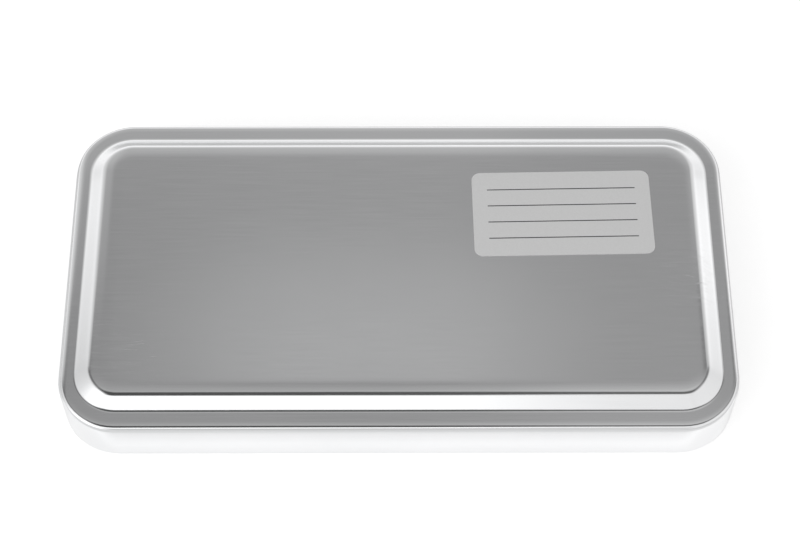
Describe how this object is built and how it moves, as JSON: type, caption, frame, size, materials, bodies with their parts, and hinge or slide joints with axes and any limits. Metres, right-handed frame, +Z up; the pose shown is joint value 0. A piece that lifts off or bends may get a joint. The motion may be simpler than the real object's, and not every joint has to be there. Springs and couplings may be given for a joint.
{
  "type": "instrument sterilization box",
  "caption": "Shallow steel tray with a drop-over stepped lid and a lift-out slotted rack whose notched combs and swing bails hold dental instruments.",
  "frame": {"origin": "middle of the plane that the box stands on", "axes": "+Z up, +X along the box and its instruments to the right, +Y towards the back, front of the box at -Y"},
  "size_m": [0.19, 0.1, 0.0302],
  "materials": {
    "drawn_steel": "satin",
    "brushed_steel": "brushed",
    "spring_wire": "polished",
    "rivet_steel": "polished",
    "silicone": "matte",
    "label_paper": "matte"
  },
  "bodies": {
    "base": {"base_tray": "drawn_steel"},
    "lid": {"lid": "drawn_steel", "lid_label": "label_paper"},
    "rack": {"rack_plate": "brushed_steel", "right_comb_channel": "brushed_steel", "left_comb_channel": "brushed_steel", "right_comb": "silicone", "left_comb": "silicone", "right_handle": "brushed_steel", "left_handle": "brushed_steel", "right_channel_front_rivet": "rivet_steel", "right_channel_rear_rivet": "rivet_steel", "left_channel_front_rivet": "rivet_steel", "left_channel_rear_rivet": "rivet_steel", "right_handle_front_rivet": "rivet_steel", "right_handle_rear_rivet": "rivet_steel", "left_handle_front_rivet": "rivet_steel", "left_handle_rear_rivet": "rivet_steel"},
    "right_bail": {"right_bail": "spring_wire", "right_bail_sleeve": "silicone"},
    "left_bail": {"left_bail": "spring_wire", "left_bail_sleeve": "silicone"}
  },
  "joints": [
    {"name": "lid_lift", "type": "slide", "parent": "base", "child": "lid", "axis": [0, 0, 1], "range_m": [0, 0.09]},
    {"name": "rack_lift", "type": "slide", "parent": "base", "child": "rack", "axis": [0, 0, 1], "range_m": [0, 0.0401]},
    {"name": "right_bail_swing", "type": "hinge", "parent": "rack", "child": "right_bail", "pos_m": [0.052, 0, 0.0206], "axis": [0, 1, 0], "range_deg": [0, 105]},
    {"name": "left_bail_swing", "type": "hinge", "parent": "rack", "child": "left_bail", "pos_m": [-0.052, 0, 0.0206], "axis": [0, -1, 0], "range_deg": [0, 105]}
  ],
  "couplings": [
    {"joint": "rack_lift", "follows": "lid_lift", "ratio": 0.4444},
    {"joint": "right_bail_swing", "follows": "lid_lift", "rad_per_m": 20.3},
    {"joint": "left_bail_swing", "follows": "lid_lift", "rad_per_m": 20.3}
  ]
}
